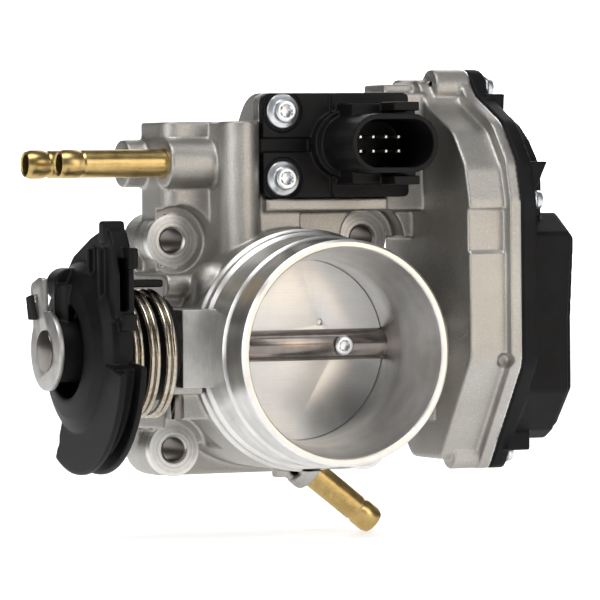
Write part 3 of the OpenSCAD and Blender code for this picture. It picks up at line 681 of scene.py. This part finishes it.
def relax(points: np.ndarray, edges: np.ndarray, rounds: int, free: np.ndarray) -> np.ndarray:
    """Moves each point towards the mean of its neighbours.

    Args:
        points: Places of the points.
        edges: Pairs of neighbours.
        rounds: How many passes.
        free: How far each point may follow, from 0 to 1.

    Returns:
        The new places.
    """
    count = np.bincount(edges.ravel(), minlength=len(points)).astype(float)[:, None]
    count[count == 0] = 1.0
    size = len(points)
    first, second = edges[:, 0], edges[:, 1]
    for _ in range(rounds):
        total = np.zeros_like(points)
        for axis in range(3):
            total[:, axis] += np.bincount(first, weights=points[second, axis], minlength=size)
            total[:, axis] += np.bincount(second, weights=points[first, axis], minlength=size)
        points = points + (total / count - points) * 0.6 * free[:, None]
    return points


def points_of(mesh: bpy.types.Mesh) -> np.ndarray:
    """The places of a mesh's points in millimetres."""
    flat = np.empty(len(mesh.vertices) * 3)
    mesh.vertices.foreach_get("co", flat)
    return flat.reshape(-1, 3) / MM


def softened(
    node: str,
    name: str,
    voxel_mm: float,
    rounds: int,
    keep: float,
    machined: Callable[[np.ndarray], np.ndarray] | None = None,
    doomed: Callable[[np.ndarray], np.ndarray] | None = None,
) -> bpy.types.Object:
    """A copy of a CAD node with every edge and corner softly rounded, as a mould leaves it.

    Args:
        node: The CAD node.
        name: The new piece's name.
        voxel_mm: Grid that the shape is rebuilt on.
        rounds: Passes of smoothing; more gives larger radii.
        keep: Share of the triangles that stay.
        machined: Says from 0 to 1 how machined each point is; such points stay put.
        doomed: Says which points other pieces take over; they are deleted.

    Returns:
        The object.
    """
    piece = node_copy(node, name)
    grid = piece.modifiers.new("grid", "REMESH")
    grid.mode = "VOXEL"
    grid.voxel_size = voxel_mm * MM
    settle(piece)
    mesh = piece.data
    points = points_of(mesh)
    edges = np.empty(len(mesh.edges) * 2, int)
    mesh.edges.foreach_get("vertices", edges)
    done = machined(points) if machined else np.zeros(len(points))
    points = relax(points, edges.reshape(-1, 2), rounds, 1 - 0.85 * done)
    mesh.vertices.foreach_set("co", (points * MM).ravel())
    mesh.update()
    if doomed:
        drop_points(piece, doomed)
    fewer = piece.modifiers.new("fewer", "DECIMATE")
    fewer.ratio = keep
    settle(piece)
    if machined:
        layer = piece.data.attributes.new("machined", "FLOAT", "POINT")
        layer.data.foreach_set("value", machined(points_of(piece.data)).astype(np.float32))
    piece.data.polygons.foreach_set("use_smooth", [True] * len(piece.data.polygons))
    return piece


def drop_points(piece: bpy.types.Object, doomed: Callable[[np.ndarray], np.ndarray]) -> None:
    """Deletes the points for which doomed says yes, and the faces on them."""
    gone = doomed(points_of(piece.data))
    bm = bmesh.new()
    bm.from_mesh(piece.data)
    bmesh.ops.delete(bm, geom=[v for v, out in zip(bm.verts, gone) if out], context="VERTS")
    bm.to_mesh(piece.data)
    bm.free()


def slab(name: str, low: Sequence[float], high: Sequence[float], bevel_mm: float) -> bpy.types.Object:
    """A block between two corners in millimetres, with rounded edges."""
    bm = bmesh.new()
    bmesh.ops.create_cube(bm, size=1.0)
    size = [(b - a) * MM for a, b in zip(low, high)]
    middle = [(a + b) / 2 * MM for a, b in zip(low, high)]
    bmesh.ops.scale(bm, vec=size, verts=bm.verts)
    bmesh.ops.translate(bm, vec=middle, verts=bm.verts)
    bmesh.ops.bevel(bm, geom=bm.edges[:], offset=bevel_mm * MM, segments=3, profile=0.5, affect="EDGES")
    mesh = bpy.data.meshes.new(name)
    bm.to_mesh(mesh)
    bm.free()
    return shade(new_object(name, mesh), 40.0)


def swept(name: str, path: Sequence[Vector], radius_mm: float, sides: int = 14) -> bpy.types.Object:
    """A round wire along a path of points in millimetres, with closed ends."""
    count = len(path)
    points, faces = [], []
    side = None
    for i, here in enumerate(path):
        ahead = (path[min(i + 1, count - 1)] - path[max(i - 1, 0)]).normalized()
        side = (side - ahead * side.dot(ahead)).normalized() if side else ahead.orthogonal().normalized()
        other = ahead.cross(side)
        for k in range(sides):
            angle = math.tau * k / sides
            points.append(here + (side * math.cos(angle) + other * math.sin(angle)) * radius_mm)
    for i in range(count - 1):
        for k in range(sides):
            m = (k + 1) % sides
            faces.append([i * sides + k, i * sides + m, (i + 1) * sides + m, (i + 1) * sides + k])
    faces.append(list(range(sides))[::-1])
    faces.append([(count - 1) * sides + k for k in range(sides)])
    piece = mesh_from(name, np.array([tuple(p) for p in points]), faces)
    fix_normals(piece)
    return shade(piece, 50.0)


class Workshop:
    """Hands out finishes and puts finished pieces on their bodies."""

    def __init__(self, finishes: Finishes) -> None:
        """Keeps the finishes."""
        self.finishes = finishes

    def place(
        self, piece: bpy.types.Object, body: str, finish: str, slot: str, stands_for: Sequence[str] = ()
    ) -> bpy.types.Object:
        """Dresses a new piece and rides it on its body.

        Args:
            piece: The piece.
            body: The body it moves with.
            finish: The finish it gets.
            slot: The record's material slot; not used.
            stands_for: CAD nodes that it replaces.

        Returns:
            The piece.
        """
        piece.data.materials.clear()
        piece.data.materials.append(self.finishes[finish])
        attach(piece, body)
        if stands_for:
            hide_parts(*stands_for)
        LOG.info("%s rides on %s, finish %s, %d points", piece.name, body, finish, len(piece.data.vertices))
        return piece

    def stand_in(self, piece: bpy.types.Object, node: str) -> bpy.types.Object:
        """Puts a piece in a CAD node's place, with the node's body and slot."""
        return self.place(piece, body_of_node(node), slot_of_node(node), slot_of_node(node), [node])

    def dress_node(self, node: str) -> None:
        """Gives a CAD node that stays the finish of its slot."""
        mesh = frame["nodes"][node].data
        mesh.materials.clear()
        mesh.materials.append(self.finishes[slot_of_node(node)])
        LOG.info("%s stays, finish %s", node, slot_of_node(node))


# ---- Sub-assemblies ----


@dataclass
class Casting:
    """The cast housing, with the turned spigot and bore, the spot faces and the milled pad."""

    shop: Workshop
    bore: tuple[float, float]
    rim_y: float
    bore_r: float = 26.0
    mouth_r: float = 29.6
    spigot_r: float = 31.8
    body_r: float = 34.6
    body_y: float = -44.0
    collar_y: float = -47.0
    boss_r: float = 7.7
    boss_y: float = -18.0
    bolt_r: float = 3.35
    bolt_half: float = 30.0
    joint_x: float = 58.0
    voxel: float = 0.42

    def radius(self, points: np.ndarray) -> np.ndarray:
        """Distance of points from the bore's axis."""
        return np.hypot(points[:, 0] - self.bore[0], points[:, 2] - self.bore[1])

    def bolt_distance(self, points: np.ndarray) -> np.ndarray:
        """Distance of points from the nearest bolt's axis."""
        return np.hypot(np.abs(points[:, 0]) - self.bolt_half, np.abs(points[:, 2]) - self.bolt_half)

    def machined(self, points: np.ndarray) -> np.ndarray:
        """How machined the casting is at points, from 0 to 1."""
        face = points[:, 1] > -0.35
        joint = points[:, 0] > self.joint_x - 0.35
        spot = (self.bolt_distance(points) < self.boss_r + 0.1) & (points[:, 1] < self.boss_y + 0.5)
        spot &= points[:, 1] > self.boss_y - 0.6
        return (face | joint | spot).astype(float)

    def replaced(self, points: np.ndarray) -> np.ndarray:
        """Where the turned pieces take over from the cast skin."""
        radius = self.radius(points)
        front = (points[:, 1] < self.body_y - 0.3) & (radius < self.body_r - 0.2)
        bore = radius < self.bore_r + 0.9
        bolt = (self.bolt_distance(points) < self.bolt_r + 0.9) & (points[:, 1] > self.boss_y - 0.9)
        top = (self.bolt_distance(points) < self.boss_r - 0.2) & (points[:, 1] < self.boss_y + 0.5)
        return front | bore | bolt | (top & (points[:, 1] > self.boss_y - 0.9))

    def spigot(self) -> bpy.types.Object:
        """The turned spigot and bore, from the engine face round the rim to the cast body."""
        out, rim = self.spigot_r, self.rim_y
        profile = [
            (self.bore_r + 1.2, -0.02), (self.bore_r + 0.6, -0.02), (self.bore_r, -0.6),
            (self.bore_r, rim + 20), (self.bore_r + 0.25, rim + 18.6), (self.mouth_r - 0.6, rim + 6),
            (self.mouth_r - 0.1, rim + 1.4), (self.mouth_r, rim + 0.5), (self.mouth_r + 0.35, rim),
            (out - 0.7, rim), (out, rim + 0.7), (out, -61.2), (out + 0.15, -60.9), (out + 0.9, -60.1),
            (out + 0.9, self.collar_y - 1.1), (out + 1.05, self.collar_y - 0.9),
            (out + 1.9, self.collar_y - 0.1), (out + 1.9, self.collar_y + 2), (out + 2.1, self.collar_y + 2.3),
            (self.body_r + 0.02, self.body_y - 0.2), (self.body_r + 0.04, self.body_y + 0.6),
            (self.body_r - 1.5, self.body_y + 0.7),
        ]
        rings = [Ring(r, y) for r, y in profile]
        return turned("spigot", rings, (self.bore[0], 0, self.bore[1]), (0, 1, 0), sides=192)

    def spot_face(self, number: int, x: float, z: float) -> bpy.types.Object:
        """One bolt hole with its machined boss face."""
        top = self.boss_y - 0.03
        profile = [
            (self.boss_r, self.boss_y + 3.0), (self.boss_r + 0.08, self.boss_y + 0.2),
            (self.boss_r, top + 0.03), (self.boss_r - 0.1, top),
            (self.bolt_r + 0.75, top), (self.bolt_r, self.boss_y + 0.8), (self.bolt_r, -0.5),
            (self.bolt_r + 0.5, -0.02), (self.bolt_r + 1.3, -0.02),
        ]
        return turned(f"bolt_face_{number}", [Ring(r, y) for r, y in profile], (x, 0, z), (0, 1, 0), sides=72)

    def build(self) -> None:
        """Makes and places every piece of the casting."""
        skin = softened("housing", "cast_housing", self.voxel, 4, 0.34, self.machined, self.replaced)
        self.shop.stand_in(skin, "housing")
        body = body_of_node("housing")
        self.shop.place(self.spigot(), body, "turned_aluminium", "cast_aluminium")
        half = self.bolt_half
        for number, (x, z) in enumerate([(-half, half), (half, half), (-half, -half), (half, -half)], 1):
            self.shop.place(self.spot_face(number, x, z), body, "spot_faced", "cast_aluminium")
        pad = slab("milled_pad", (-40.45, -50.05, -11.05), (-28.0, -30.0, 11.05), 0.35)
        self.shop.place(pad, body, "zinc_plate", "cast_aluminium")


@dataclass
class Throttle:
    """Shaft, plate and the screws that hold the plate in the shaft's slot."""

    shop: Workshop

    def build(self) -> None:
        """Makes and places the pieces."""
        for node, width in (("throttle_shaft", 0.2), ("throttle_plate", 0.25)):
            self.shop.stand_in(bevelled(node, f"{node}_piece", width, 2, 60.0), node)
        low, high = box_mm("plate_screws")
        tilt = math.atan2(3.9 * math.pi, 180.0)
        radius = 2.8
        heads = []
        for x in (low[0] + radius, high[0] - radius):
            pivot = joint("throttle_turn")["pos_m"]
            shaft_y, shaft_z = pivot[1] / MM, pivot[2] / MM
            normal = Vector((0, -math.cos(tilt), -math.sin(tilt)))
            base = Vector((x, shaft_y, shaft_z)) + normal * 3.6
            heads.append(star_screw(f"plate_screw_{len(heads) + 1}", base, normal, radius, 1.9, radius, 0.0))
        for k, head in enumerate(heads):
            stands_for = ["plate_screws"] if k == 0 else []
            self.shop.place(head, "throttle", "zinc_screws", "zinc_screws", stands_for)


def star_screw(
    name: str, base: Sequence[float], direction: Sequence[float], head_r: float, head_h: float,
    flange_r: float, flange_h: float,
) -> bpy.types.Object:
    """A screw's head with a six-lobed recess.

    Args:
        name: The piece's name.
        base: Centre of the seat, in millimetres.
        direction: Which way the head stands out.
        head_r: Radius of the head.
        head_h: Height of the head above the flange.
        flange_r: Radius of the flange.
        flange_h: Thickness of the flange.

    Returns:
        The object.
    """
    star = head_r * 0.5
    top = flange_h + head_h
    rings = [Ring(0, 0), Ring(flange_r - 0.1, 0)]
    if flange_h > 0:
        rings += [
            Ring(flange_r, 0.15), Ring(flange_r, flange_h * 0.55), Ring(flange_r - 0.25, flange_h * 0.85),
            Ring(head_r + 0.5, flange_h + 0.12), Ring(head_r + 0.1, flange_h + 0.3),
        ]
    rings += [
        Ring(head_r, top - 0.55), Ring(head_r - 0.12, top - 0.25), Ring(head_r - 0.4, top - 0.05),
        Ring(head_r - 0.75, top), Ring(star * 1.22, top), Ring(star * 1.12, top - 0.12, 0.05),
        Ring(star, top - 0.3, 0.13), Ring(star * 0.97, top - head_h * 0.75, 0.13),
        Ring(0, top - head_h * 0.85),
    ]
    return turned(name, rings, tuple(base), tuple(direction), sides=72)


@dataclass
class PulleySide:
    """Cable pulley, end plate, bumper, return spring and its sleeve."""

    shop: Workshop
    shaft: tuple[float, float]
    spring_r: float = 18.3
    sag: float = 1.4
    wire_r: float = 0.88
    turns: float = 6.0
    pairing: float = 0.38
    tail: float = 5.0

    def spring_path(self) -> list[Vector]:
        """The wire's middle line: pairs of turns lie close together."""
        low, high = box_mm("return_spring")
        left, right = low[0] + self.wire_r, high[0] - self.wire_r
        radius = self.spring_r - self.wire_r
        path = []
        steps = 44
        for i in range(int(self.turns * steps) + 1):
            turn = i / steps
            angle = math.tau * turn
            x = left + (right - left) * turn / self.turns + self.pairing * math.sin(math.pi * turn)
            up = self.shaft[1] - self.sag + radius * math.sin(angle)
            path.append(Vector((x, self.shaft[0] + radius * math.cos(angle), up)))
        return path

    def build(self) -> None:
        """Makes and places the pieces."""
        self.shop.stand_in(softened("cable_pulley", "pulley_moulding", 0.34, 3, 0.4), "cable_pulley")
        self.shop.stand_in(softened("spring_sleeve", "sleeve_moulding", 0.4, 2, 0.4), "spring_sleeve")
        self.shop.stand_in(softened("stop_bumper", "bumper_moulding", 0.2, 4, 0.6), "stop_bumper")
        self.shop.stand_in(bevelled("end_plate", "end_plate_piece", 0.22, 2, 50.0), "end_plate")
        self.shop.dress_node("pulley_bush")
        wire = swept("return_spring_wire", self.spring_path(), self.wire_r)
        low, high = box_mm("return_spring")
        wire.data.materials.append(self.shop.finishes["spring_steel"])
        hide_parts("return_spring")
        high[0] * MM
        low[0] * MM
        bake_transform(wire)
        LOG.info("%s bends between body and throttle", wire.name)


@dataclass
class HosePipes:
    """The brass tails for coolant and purge hoses."""

    shop: Workshop
    bore: float = 3.0

    def tube(self, name: str, at: dict, length: float, radius: float, bead: float) -> bpy.types.Object:
        """One tail: plain tube, neck, bead and open end.

        Args:
            name: The piece's name.
            at: The mount that states the tail's axis.
            length: From the mount's point to the tip.
            radius: Outer radius of the tube.
            bead: How far the bead stands out.

        Returns:
            The object.
        """
        origin = tuple(c / MM for c in at["pos_m"])
        low = -length
        profile = [
            (self.bore, low), (radius, low), (radius, length - 7.3), (radius - 0.32, length - 6.7),
            (radius - 0.34, length - 6.4), (radius + bead, length - 5.3), (radius + bead, length - 1.5),
            (radius + bead - 0.25, length - 0.8), (radius - 0.35, length - 0.15), (radius - 0.55, length),
            (self.bore + 0.25, length), (self.bore, length - 0.4), (self.bore, low),
        ]
        return turned(name, [Ring(r, h) for r, h in profile], origin, tuple(at["axis"]), sides=64)

    def build(self) -> None:
        """Makes and places the three tails."""
        for node in ("coolant_pipe_front", "coolant_pipe_rear", "purge_pipe"):
            at = mount(node)
            axis = Vector(at["axis"])
            low, high = box_mm(node)
            origin = Vector(at["pos_m"]) / MM
            far = high[0] if axis.x > 0 else low[0]
            edge = at["dims"]["r_mm"] - 0.4
            length = (abs(far - origin.x) - edge * math.sqrt(max(0.0, 1 - axis.x ** 2))) / abs(axis.x)
            piece = self.tube(f"{node}_tail", at, length, at["dims"]["r_mm"], 0.15)
            self.shop.stand_in(piece, node)


@dataclass
class Plug:
    """The socket moulding, its pins, seal and the two flanged screws."""

    shop: Workshop
    head_r: float = 3.3
    flange_r: float = 4.95

    def build(self) -> None:
        """Makes and places the pieces."""
        self.shop.stand_in(softened("connector_shell", "connector_moulding", 0.3, 2, 0.45), "connector_shell")
        self.shop.stand_in(bevelled("connector_pins", "connector_pins_piece", 0.1, 2, 40.0), "connector_pins")
        self.shop.dress_node("connector_seal")
        low, high = box_mm("connector_screws")
        x = (low[0] + high[0]) / 2
        for number, z in enumerate((high[2] - 5.0, low[2] + 5.0), 1):
            head = star_screw(
                f"connector_screw_{number}", (x, low[1] + 3.6, z), (0, -1, 0), self.head_r, 2.4,
                self.flange_r, 1.15,
            )
            stands_for = ["connector_screws"] if number == 1 else []
            self.shop.place(head, "body", "zinc_screws", "zinc_screws", stands_for)


@dataclass
class GearCase:
    """Cover, gasket, cover screws and everything that turns inside."""

    shop: Workshop
    head_r: float = 2.7
    head_h: float = 2.2
    flange_r: float = 3.1

    def screws(self) -> None:
        """Puts a flanged head on each of the cover's screws."""
        high = box_mm("cover_screws")[1]
        points = points_of(frame["nodes"]["cover_screws"].data)
        heads = points[points[:, 0] > high[0] - 0.4][:, 1:]
        places: list[np.ndarray] = []
        for place in heads:
            group = heads[np.hypot(*(heads - place).T) < 2 * self.flange_r]
            middle = (group.min(axis=0) + group.max(axis=0)) / 2
            if all(np.hypot(*(middle - other)) > self.flange_r for other in places):
                places.append(middle)
        for number, (y, z) in enumerate(places, 1):
            seat = (high[0] - self.head_h - 0.9, y, z)
            head = star_screw(
                f"cover_screw_{number}", seat, (1, 0, 0), self.head_r, self.head_h, self.flange_r, 0.9
            )
            stands_for = ["cover_screws"] if number == 1 else []
            self.shop.place(head, "body", "zinc_screws", "zinc_screws", stands_for)

    def build(self) -> None:
        """Makes and places the pieces."""
        self.shop.stand_in(softened("gear_cover", "cover_moulding", 0.42, 3, 0.4), "gear_cover")
        self.shop.dress_node("cover_gasket")
        self.screws()
        self.shop.stand_in(bevelled("spring_post", "spring_post_piece", 0.2, 2, 40.0), "spring_post")
        shown = {piece.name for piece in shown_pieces()}
        for node in frame["nodes"]:
            worn = frame["nodes"][node].data.materials
            if node in shown and not any(m and m.name == slot_of_node(node) for m in worn):
                self.shop.dress_node(node)


# ---- Studio ----


@dataclass
class Studio:
    """Pale floor, soft light and the camera."""

    yaw_deg: float = 24.14
    pitch_deg: float = 1.46
    roll_deg: float = -0.53
    lens: float = 291.3
    distance: float = 1419.0
    aim: Point = (13.6, -10.2, 12.0)
    floor_size: float = 6.0

    def camera(self) -> None:
        """Puts the camera where it sees the part at its usual angle."""
        yaw, pitch, roll = (math.radians(a) for a in (self.yaw_deg, self.pitch_deg, self.roll_deg))
        ahead = Vector((math.sin(yaw) * math.cos(pitch), math.cos(yaw) * math.cos(pitch), -math.sin(pitch)))
        right = Vector((math.cos(yaw), -math.sin(yaw), 0))
        up = right.cross(ahead)
        right_rolled = right * math.cos(roll) + up * math.sin(roll)
        up_rolled = up * math.cos(roll) - right * math.sin(roll)
        data = bpy.data.cameras.new("camera")
        data.lens = self.lens
        data.sensor_width = 36.0
        data.clip_end = 20.0
        camera = bpy.data.objects.new("camera", data)
        turn = Matrix((right_rolled, up_rolled, -ahead)).transposed().to_4x4()
        place = (Vector(self.aim) - ahead * self.distance) * MM
        camera.matrix_world = Matrix.Translation(place) @ turn
        bpy.context.scene.collection.objects.link(camera)
        bpy.context.scene.camera = camera

    def floor(self) -> None:
        """A plain pale floor just under the part."""
        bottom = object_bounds()[0][2]
        half = self.floor_size / 2
        mesh = bpy.data.meshes.new("floor")
        corners = ((-half, -half), (half, -half), (half, half), (-half, half))
        mesh.from_pydata([(x, y, bottom) for x, y in corners], [], [(0, 1, 2, 3)])
        s = Shader("floor_paint")
        tone = s.noise(400.0, 2.0)
        s.finish(Base_Color=s.blend(tone, (0.93, 0.93, 0.93), (0.95, 0.95, 0.95)), Roughness=0.6,
                 Emission_Color=s.blend(tone, (1.0, 1.0, 1.0), (0.99, 0.99, 0.99)), Emission_Strength=0.5)
        mesh.materials.append(s.material)
        new_object("floor", mesh)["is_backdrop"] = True

    def sheet(
        self, name: str, place: Point, aim: Point, size: tuple[float, float], paint: bpy.types.Material
    ) -> None:
        """A flat sheet of the room that looks at a point; places and sizes are in metres."""
        turn = (Vector(aim) - Vector(place)).to_track_quat("-Z", "Y").to_matrix().to_4x4()
        corners = [(-0.5, -0.5), (0.5, -0.5), (0.5, 0.5), (-0.5, 0.5)]
        mesh = bpy.data.meshes.new(name)
        stand = Matrix.Translation(Vector(place)) @ turn
        points = [stand @ Vector((u * size[0], v * size[1], 0)) for u, v in corners]
        mesh.from_pydata([tuple(p) for p in points], [], [(0, 1, 2, 3)])
        mesh.materials.append(paint)
        new_object(name, mesh)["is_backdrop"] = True

    def backdrop(self) -> None:
        """A lit white paper behind the part."""
        s = Shader("paper")
        tone = s.blend(s.noise(900.0), (0.97, 0.97, 0.97), (0.99, 0.99, 0.99))
        paper = s.finish(Base_Color=tone, Roughness=0.8, Emission_Color=tone, Emission_Strength=1.1)
        self.sheet("backdrop", (0.9, 2.0, 0.6), (0.0, 0.0, 0.0), (2.4, 1.8), paper)

    def lamp(
        self, name: str, place: Point, aim: Point, size: tuple[float, float], watts: float, tint: Colour
    ) -> None:
        """A soft box that looks at a point; places and sizes are in metres."""
        data = bpy.data.lights.new(name, "AREA")
        data.shape = "RECTANGLE"
        data.size, data.size_y = size
        data.energy = watts
        data.color = tint
        lamp = bpy.data.objects.new(name, data)
        look = (Vector(aim) - Vector(place)).to_track_quat("-Z", "Y")
        lamp.matrix_world = Matrix.Translation(Vector(place)) @ look.to_matrix().to_4x4()
        bpy.context.scene.collection.objects.link(lamp)

    def build(self) -> None:
        """Sets up the room."""
        self.camera()
        self.floor()
        white, warm = (1.0, 1.0, 1.0), (1.0, 0.72, 0.42)
        middle = (0.0, -0.03, 0.01)
        self.lamp("top_box", (-0.15, -0.3, 0.85), middle, (0.6, 0.5), 4.2, white)
        self.lamp("left_box", (-0.85, -0.45, 0.3), middle, (0.45, 0.8), 3.4, white)
        self.lamp("front_box", (0.5, -1.05, 0.4), middle, (0.5, 0.6), 2.6, white)
        self.lamp("back_box", (0.6, 0.5, 0.5), middle, (0.5, 0.5), 1.6, white)
        self.lamp("warm_card", (0.2, -0.45, -0.02), middle, (0.12, 0.25), 0.2, warm)
        self.backdrop()
        world = bpy.data.worlds.new("room")
        world.use_nodes = True
        world.node_tree.nodes["Background"].inputs[0].default_value = (1.0, 1.0, 1.0, 1.0)
        world.node_tree.nodes["Background"].inputs[1].default_value = 0.1
        bpy.context.scene.world = world
        bpy.context.scene.view_settings.view_transform = "Standard"


def main() -> None:
    """Builds the part and the room."""
    logging.basicConfig(level=logging.INFO, format="%(message)s")
    shaft = tuple(c / MM for c in joint("throttle_turn")["pos_m"][1:])
    spigot = mount("intake_spigot")
    bore = (spigot["pos_m"][0] / MM, spigot["pos_m"][2] / MM)
    bolts = mount("manifold_bolts")["dims"]
    shop = Workshop(Finishes(shaft, bore, bolts["spacing_x_mm"] / 2))
    rim_y = box_mm("housing")[0][1]
    Casting(
        shop, bore, rim_y, spigot_r=spigot["dims"]["r_mm"], bolt_half=bolts["spacing_x_mm"] / 2,
        bolt_r=bolts["hole_r_mm"],
    ).build()
    Throttle(shop).build()
    PulleySide(shop, shaft).build()
    HosePipes(shop).build()
    Plug(shop).build()
    GearCase(shop).build()
    Studio().build()


if __name__ == "__main__":
    main()
